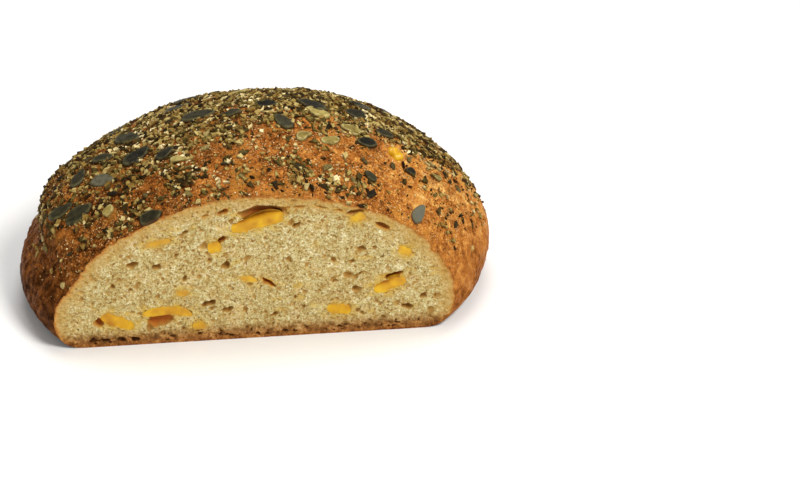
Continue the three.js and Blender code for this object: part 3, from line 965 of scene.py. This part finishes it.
def make_bits(bits, spread, material):
    name, slot, tries, shortest, longest, corners, seed = bits
    random = np.random.default_rng(seed)
    forms = shard_forms(random, corners)
    at, axes, sizes = strewn(random, tries, shortest, longest, spread)
    sunk = random.uniform(0.1, 1.0, len(at))
    kind = 0.7 * random.random(len(at)) + 0.3 * smooth(-0.5, 0.5, clouds(at, 9, seed))
    kind += 0.1 * smooth(58, 80, at[:, 2])
    at = at + axes[:, 2] * (sizes[:, 2] * sunk + crust_relief(at))[:, None]
    points, faces, each = place_copies(forms, random.integers(0, len(forms), len(at)), sizes, at, axes)
    foot = np.tile(np.repeat([1.0, 0.0], corners), len(at))
    add_topping(name, points, faces, slot, material, kind=np.repeat(kind, each), foot=foot)


def bare(at):
    """1 in the nearly bare patch in front of the crown, fading to 0 outside it."""
    out = np.hypot(at[:, 0] - MIDDLE_X - BARE["x"], (at[:, 1] - MIDDLE_Y - BARE["y"]) * 1.5)
    return smooth(1.35, 0.75, (out + 5 * clouds(at, 10, 94, 2)) / BARE["radius"])


def drift(at):
    """How thickly chopped seeds lie: over back and ridge, in clusters on the front, few near the foot."""
    wander = clouds(at, 12, 90, 2)
    ridge = smooth(-52, -26, at[:, 1] + 16 * wander - 12 * smooth(20, 70, at[:, 0]))
    ridge *= lerp(0.35, 1, smooth(-105, -45, at[:, 0] + 25 * clouds(at, 8, 95, 2)))
    clusters = 0.07 + 0.7 * smooth(-0.02, 0.26, clouds(at, 8, 91, 2))
    clusters *= lerp(1, 0.25, smooth(15, 48, at[:, 0]))
    dense = lerp(0.62, 1, smooth(-0.3, 0.1, clouds(at, 11, 99, 2)))
    spread = lerp(clusters, dense, ridge) * lerp(1, 0.12, bare(at))
    near_cut = smooth(2, 9, at[:, 1] - CUT_Y + 3 * wander)
    return spread * lerp(0.3, 1, near_cut) * smooth(22, 56, at[:, 2] + 16 * wander)


def scraps(at):
    """How thickly dark scraps lie: in clusters everywhere, also down the left side."""
    clusters = 0.1 + 0.8 * smooth(0.02, 0.3, clouds(at, 7, 97, 2))
    clusters *= lerp(1, 0.25, smooth(15, 50, at[:, 0]) * smooth(-20, -45, at[:, 1]))
    return clusters * smooth(20, 42, at[:, 2] + 12 * clouds(at, 15, 98, 2)) * lerp(1, 0.3, bare(at))


def sprinkle(at):
    """How thickly the fine grain lies: nearly everywhere above the belly, more in some patches."""
    patches = lerp(0.4, 1, smooth(-0.2, 0.25, clouds(at, 9, 96, 2)))
    return patches * lerp(0.06, 0.9, smooth(24, 46, at[:, 2] + 8 * clouds(at, 15, 93, 2)))


# ------------------------------------------------------------------ materials

class Nodes:
    """A short way to write a material's nodes. Most calls make a node or two and give the output."""

    def __init__(self, name):
        self.material = bpy.data.materials.new(name)
        self.material.use_nodes = True
        self.tree = self.material.node_tree
        self.shader = self.tree.nodes["Principled BSDF"]
        self.place = self.make("TexCoord").outputs["Object"]

    def make(self, kind, **settings):
        made = self.tree.nodes.new("ShaderNode" + kind)
        for key, value in settings.items():
            setattr(made, key, value)
        return made

    def feed(self, node, values):
        """Sets a node's inputs: a socket is linked, and any other value becomes the input's own."""
        for key, value in values.items():
            if isinstance(value, bpy.types.NodeSocket):
                self.tree.links.new(value, node.inputs[key])
            else:
                node.inputs[key].default_value = value

    def math(self, operation, a, b):
        made = self.make("Math", operation=operation)
        self.feed(made, {0: a, 1: b})
        return made.outputs[0]

    def times(self, a, b):
        return self.math("MULTIPLY", a, b)

    def total(self, *values):
        result = values[0]
        for value in values[1:]:
            result = self.math("ADD", result, value)
        return result

    def vary(self, value, amount):
        """A noise from 0 to 1 as a change of half the amount up or down."""
        return self.times(self.math("SUBTRACT", value, 0.5), amount)

    def attribute(self, name):
        return self.make("Attribute", attribute_name=name).outputs["Fac"]

    def noise(self, size_mm, detail=4, roughness=0.55, place=None):
        made = self.make("TexNoise")
        self.feed(made, {"Scale": 1 / (size_mm * MM), "Detail": detail, "Roughness": roughness,
                         "Vector": place or self.place})
        return made.outputs["Fac"]

    def cells(self, size_mm):
        """Grains of about a size: how far from its middle each place is, and a number for each grain."""
        made = self.make("TexVoronoi")
        self.feed(made, {"Scale": 1 / (size_mm * MM), "Vector": self.place})
        return made.outputs["Distance"], self.times(made.outputs["Color"], 1.0)

    def ramp(self, value, stops):
        made = self.make("ValToRGB")
        elements = made.color_ramp.elements
        elements[0].position, elements[0].color = stops[0][0], painted(stops[0][1])
        elements[1].position, elements[1].color = stops[-1][0], painted(stops[-1][1])
        for position, colour in stops[1:-1]:
            elements.new(position).color = painted(colour)
        self.feed(made, {"Fac": value})
        return made.outputs["Color"]

    def between(self, low, high, value, top=1.0):
        """0 under low and the top over high, with a soft step from one to the other."""
        made = self.make("MapRange", interpolation_type="SMOOTHSTEP")
        self.feed(made, {"Value": value, "From Min": low, "From Max": high, "To Min": 0.0, "To Max": top})
        return made.outputs["Result"]

    def below(self, low, high, value):
        return self.math("SUBTRACT", 1.0, self.between(low, high, value))

    def mix(self, share, a, b):
        made = self.make("Mix", data_type="RGBA")
        self.feed(made, {"Factor": share, "A": painted(a), "B": painted(b)})
        return made.outputs["Result"]

    def bump(self, height, depth_mm):
        made = self.make("Bump")
        self.feed(made, {"Strength": 1.0, "Distance": depth_mm * MM, "Height": height})
        self.feed(self.shader, {"Normal": made.outputs["Normal"]})

    def surface(self, colour, roughness, specular=0.3, scatter=0.0, scatter_mm=(1.0, 0.5, 0.2), coat=0.0):
        self.feed(self.shader, {
            "Base Color": colour, "Roughness": roughness, "Specular IOR Level": specular,
            "Subsurface Weight": scatter, "Subsurface Radius": scatter_mm, "Subsurface Scale": MM,
            "Coat Weight": coat,
        })
        return self.material


def linear(colour):
    """An sRGB colour from 0 to 255, as the shaders' linear one."""
    return tuple(c / 255 / 12.92 if c <= 10 else ((c / 255 + 0.055) / 1.055) ** 2.4 for c in colour)


def painted(colour):
    """What a colour socket takes: another node's output as it is, or an sRGB colour made linear."""
    return colour if isinstance(colour, bpy.types.NodeSocket) else (*linear(colour), 1)


# The colour of a seed's or a bit's foot: partly crust that has crept up it, partly painted shade under it
FOOT_CRUST_AND_SHADE = (82, 44, 14)


def crust_material():
    m = Nodes("crust")
    fine = m.noise(0.8, 3, 0.7)
    coarse = m.noise(3.6, 5, 0.6)
    middle, each = m.cells(1.15)
    _, small = m.cells(0.6)
    grain = m.attribute("grain")
    # Painted shade between the grains: browner towards each grain's edge, where the bump is lowest
    groove = m.times(m.between(0.3, 0.62, middle), 0.2)
    grains = m.times(m.total(m.vary(each, 0.45), m.vary(small, 0.4), groove), grain)
    # The crust's browning with its painted shade, and tone that varies at random
    brown = m.total(m.attribute("bake"), m.vary(coarse, 1.05), m.vary(fine, 0.65), grains)
    colour = m.ramp(brown, (
        (0.0, (232, 190, 114)), (0.2, (206, 147, 71)), (0.42, (174, 107, 45)),
        (0.64, (130, 75, 29)), (0.82, (84, 45, 15)), (1.0, (46, 23, 6)),
    ))
    golden = m.times(m.attribute("golden"), m.between(0.35, 0.6, coarse, 0.5))
    colour = m.mix(golden, colour, (200, 138, 56))
    gold = m.times(m.between(0.86, 0.93, each), m.times(grain, 0.6))
    colour = m.mix(gold, colour, (226, 176, 104))
    # Painted glints: the palest specks on the grain
    painted_glint = m.times(m.between(0.9, 0.95, small), m.times(grain, 0.55))
    colour = m.mix(painted_glint, colour, (248, 216, 160))
    height = m.total(m.times(fine, 0.5), m.times(m.noise(0.45, 2), 0.3),
                     m.times(m.times(middle, grain), -0.9))
    m.bump(height, 0.7)
    return m.surface(colour, m.between(0.2, 0.8, coarse, 0.85), specular=0.01)


def crumb_material():
    m = Nodes("crumb")
    hollow = m.attribute("hollow")
    mottle = m.noise(2.6, 4, 0.6)
    patch = m.noise(9, 3, 0.5)
    speck = m.noise(0.7, 3, 0.65)
    _, cell = m.cells(0.75)
    # Painted light: the pore walls grow a little lighter towards the top of the face
    tone = m.total(m.times(mottle, 0.34), m.times(speck, 0.47), m.vary(cell, 0.17),
                   m.times(patch, 0.19), m.between(20, 60, m.attribute("height"), 0.022))
    # The palest walls are partly pale crumb and partly painted glints, lighter where the speck and cell
    # bumps stand higher
    wall = m.ramp(tone, (
        (0.34, (138, 108, 52)), (0.42, (172, 144, 84)), (0.5, (191, 173, 116)),
        (0.57, (206, 193, 143)), (0.65, (238, 230, 194)),
    ))
    wall = m.mix(m.between(0.5, 0.68, patch, 0.45), wall, (192, 156, 84))
    wall = m.mix(m.attribute("yellow"), wall, (202, 166, 66))
    # Painted shade in the pores: the deeper a pore, the darker and browner its colour
    pit = m.ramp(m.math("DIVIDE", hollow, 4.0), (
        (0.0, (196, 166, 106)), (0.2, (174, 138, 75)), (0.45, (156, 112, 50)), (1.0, (120, 76, 30)),
    ))
    colour = m.mix(m.between(0.2, 0.9, m.total(hollow, m.vary(speck, 0.5))), wall, pit)
    bran = m.between(0.61, 0.7, m.noise(1.0, 2, 0.4))
    colour = m.mix(m.times(bran, 0.8), colour, (114, 74, 30))
    # Amber stain in hollows, crevices and round the chunks, with painted shade: the deeper the hollow, the
    # darker the amber
    amber = m.ramp(m.math("DIVIDE", hollow, 6.0), (
        (0.0, (202, 160, 64)), (0.2, (190, 122, 42)), (0.5, (176, 98, 38)), (1.0, (158, 82, 32)),
    ))
    colour = m.mix(m.attribute("stain"), colour, amber)
    edge = m.total(m.attribute("edge"), m.vary(mottle, 3.2), m.vary(speck, 1.2))
    under = m.below(2.0, 10.0, edge)
    colour = m.mix(m.times(under, 0.7), colour, (186, 149, 80))
    golden = m.below(0.5, 2.8, edge)
    colour = m.mix(m.times(golden, 0.6), colour, (194, 138, 62))
    crusty = m.below(0.0, 1.2, edge)
    colour = m.mix(m.times(crusty, 0.85), colour, (160, 96, 40))
    low = m.below(2.0, 9.5, m.total(m.attribute("height"), m.vary(mottle, 7)))
    base = m.ramp(m.total(m.times(mottle, 0.6), m.times(speck, 0.4)), (
        (0.36, (62, 26, 8)), (0.48, (118, 64, 26)), (0.58, (166, 106, 50)), (0.66, (200, 150, 92)),
    ))
    colour = m.mix(m.times(low, 0.85), colour, base)
    # Painted shade in the pits near the base: the deeper, the nearer to black
    base_pit_shade = m.times(low, m.between(0.5, 1.4, hollow, 0.8))
    colour = m.mix(base_pit_shade, colour, (56, 25, 8))
    m.bump(m.total(speck, m.times(cell, 0.35)), 0.3)
    return m.surface(colour, 0.85, specular=0.06, scatter=0.15, scatter_mm=(1.2, 0.7, 0.3))


def pumpkin_material():
    m = Nodes("pumpkin")
    # Fibres and blotches at random, and painted shade on upper edges under a hollow
    shade = m.total(m.times(m.attribute("shade"), 0.1), m.vary(m.noise(5.0, 2, 0.4), 0.7),
                    m.times(m.attribute("roofed"), -0.38))
    colour = m.ramp(m.math("ADD", shade, 0.55), (
        (0.1, (112, 58, 12)), (0.3, (164, 102, 12)), (0.48, (195, 141, 16)), (0.64, (211, 163, 19)),
        (0.85, (225, 184, 38)),
    ))
    border = m.times(m.attribute("border"), m.between(0.3, 0.6, m.noise(1.6, 3)))
    colour = m.mix(border, colour, (184, 144, 68))
    m.bump(m.total(m.noise(0.8, 2, 0.5), m.noise(2.2, 2, 0.5)), 0.16)
    return m.surface(colour, 0.28, specular=0.25, scatter=0.2, scatter_mm=(1.2, 0.8, 0.15), coat=0.06)


def seed_material(name, stops, rim_colour, uneven, roughness, specular):
    """A whole seed's skin: fine lines along it, a lighter rim, and a tone of its own for each."""
    m = Nodes(name)
    lines = m.make("CombineXYZ")
    m.feed(lines, {
        "X": m.times(m.attribute("along"), 0.0012), "Y": m.times(m.attribute("across"), 0.008),
        "Z": m.attribute("kind"),
    })
    grain = m.noise(1.0, 3, 0.6, lines.outputs[0])
    blotch = m.noise(2.4, 3, 0.6)
    tone = m.total(m.attribute("kind"), m.vary(grain, 0.8), m.vary(blotch, uneven))
    colour = m.ramp(tone, stops)
    rim = m.times(m.attribute("rim"), m.between(0.3, 0.6, blotch, 0.8))
    colour = m.mix(rim, colour, rim_colour)
    # Crust colour and painted shade on the seed's lower side
    colour = m.mix(m.times(m.attribute("foot"), 0.8), colour, FOOT_CRUST_AND_SHADE)
    m.bump(m.total(grain, m.times(m.noise(0.5, 2), 0.4)), 0.26)
    return m.surface(colour, roughness, specular=specular)


def bit_material(name, stops, roughness, specular):
    """The material of chopped bits or grain: kind picks a tone for each one."""
    m = Nodes(name)
    tone = m.total(m.attribute("kind"), m.vary(m.noise(1.0, 3, 0.6), 0.7))
    colour = m.ramp(tone, stops)
    # Crust colour and painted shade at each bit's foot
    colour = m.mix(m.times(m.attribute("foot"), 0.85), colour, FOOT_CRUST_AND_SHADE)
    m.bump(m.noise(0.5, 3, 0.6), 0.2)
    return m.surface(colour, roughness, specular=specular)


# ------------------------------------------------------------------ camera, light and floor

def place_camera():
    data = bpy.data.cameras.new("camera")
    data.lens = CAMERA_LENS
    data.sensor_width = CAMERA_SENSOR
    data.clip_start, data.clip_end = 0.05, 20
    camera = bpy.data.objects.new("camera", data)
    bpy.context.collection.objects.link(camera)
    azimuth, down, roll = (math.radians(a) for a in (CAMERA_AZIMUTH, CAMERA_DOWN, CAMERA_ROLL))
    level = math.cos(down)
    forward = Vector((math.sin(azimuth) * level, math.cos(azimuth) * level, -math.sin(down)))
    right = forward.cross(Vector((0, 0, 1))).normalized()
    up = right.cross(forward)
    right, up = right * math.cos(roll) + up * math.sin(roll), up * math.cos(roll) - right * math.sin(roll)
    turn = Matrix((right, up, -forward)).transposed()
    camera.matrix_world = Matrix.Translation(Vector(CAMERA_AT) * MM) @ turn.to_4x4()
    bpy.context.scene.camera = camera


def area_light(name, at, size, power, colour):
    data = bpy.data.lights.new(name, "AREA")
    data.shape = "DISK"
    data.size = size
    data.energy = power
    data.color = colour
    light = bpy.data.objects.new(name, data)
    bpy.context.collection.objects.link(light)
    light.location = at
    light.rotation_euler = (Vector(LIGHTS_AIM) - Vector(at)).to_track_quat("-Z", "Y").to_euler()


def light_scene():
    for name, settings in LIGHTS.items():
        area_light(name, *settings)
    world = bpy.data.worlds.new("studio")
    world.use_nodes = True
    background = world.node_tree.nodes["Background"]
    background.inputs["Color"].default_value = (1, 1, 1, 1)
    background.inputs["Strength"].default_value = SKY_STRENGTH
    bpy.context.scene.world = world
    bpy.context.scene.view_settings.view_transform = "Standard"


def make_floor():
    corners = FLOOR_REACH * np.array([(-1, -1, 0), (1, -1, 0), (1, 1, 0), (-1, 1, 0)], float)
    floor = make_object("floor", corners, np.array([[0, 1, 2], [0, 2, 3]]))
    m = Nodes("floor")
    colour = m.ramp(m.noise(300, 2), ((0.3, (238, 237, 235)), (0.7, (242, 241, 239))))
    floor.data.materials.append(m.surface(colour, 0.7, specular=0.2))


# ------------------------------------------------------------------ the loaf

def make_loaf():
    crust = make_crust()
    outline = cut_outline(crust)
    paint_crust(crust)
    finish_piece(crust, crust_material(), "loaf")
    finish_piece(make_crumb(outline), crumb_material(), "loaf")


def make_pumpkin():
    material = pumpkin_material()
    for chunk in CHUNKS:
        make_chunk(*chunk, material)
    make_crust_chunk(material)


def make_toppings():
    dark_skin = (
        (0.0, (15, 13, 5)), (0.3, (34, 30, 15)), (0.6, (55, 51, 30)), (0.85, (78, 73, 50)),
        (1.0, (97, 95, 80)),
    )
    pale_skin = (
        (0.0, (104, 88, 42)), (0.4, (140, 122, 62)), (0.75, (172, 154, 88)), (1.0, (200, 184, 124)),
    )
    make_seeds("whole_seeds", DARK_SEEDS + back_seeds(), "seed_green",
               seed_material("dark_seed", dark_skin, (96, 90, 56), 0.8, 0.45, 0.12), 3, 0.5)
    make_seeds("split_seeds", PALE_SEEDS, "seed_pale",
               seed_material("pale_seed", pale_skin, (196, 180, 120), 1.3, 0.55, 0.1), 4, 1.3)
    make_broken_seeds("seed_green", bit_material("broken_seed", (
        (0.0, (26, 20, 6)), (0.35, (50, 42, 18)), (0.6, (84, 72, 36)), (0.8, (132, 114, 62)),
        (1.0, (178, 158, 100)),
    ), 0.55, 0.1))
    green = bit_material("seed_green", (
        (0.0, (18, 11, 1)), (0.3, (36, 26, 5)), (0.6, (60, 48, 16)), (0.85, (94, 80, 34)),
        (1.0, (130, 112, 56)),
    ), 0.6, 0.08)
    pale = bit_material("seed_pale", (
        (0.0, (88, 58, 18)), (0.3, (128, 98, 42)), (0.6, (162, 138, 74)), (0.85, (198, 176, 114)),
        (1.0, (238, 220, 168)),
    ), 0.65, 0.08)
    grain = bit_material("grain", (
        (0.0, (120, 66, 24)), (0.35, (168, 110, 54)), (0.65, (208, 162, 98)), (1.0, (240, 210, 156)),
    ), 0.7, 0.08)
    make_bits(GREEN_BITS, drift, green)
    make_bits(PALE_BITS, drift, pale)
    make_bits(DARK_SCRAPS, scraps, green)
    make_bits(GRAIN_FLECKS, sprinkle, grain)


make_loaf()
make_pumpkin()
make_toppings()
make_floor()
light_scene()
place_camera()
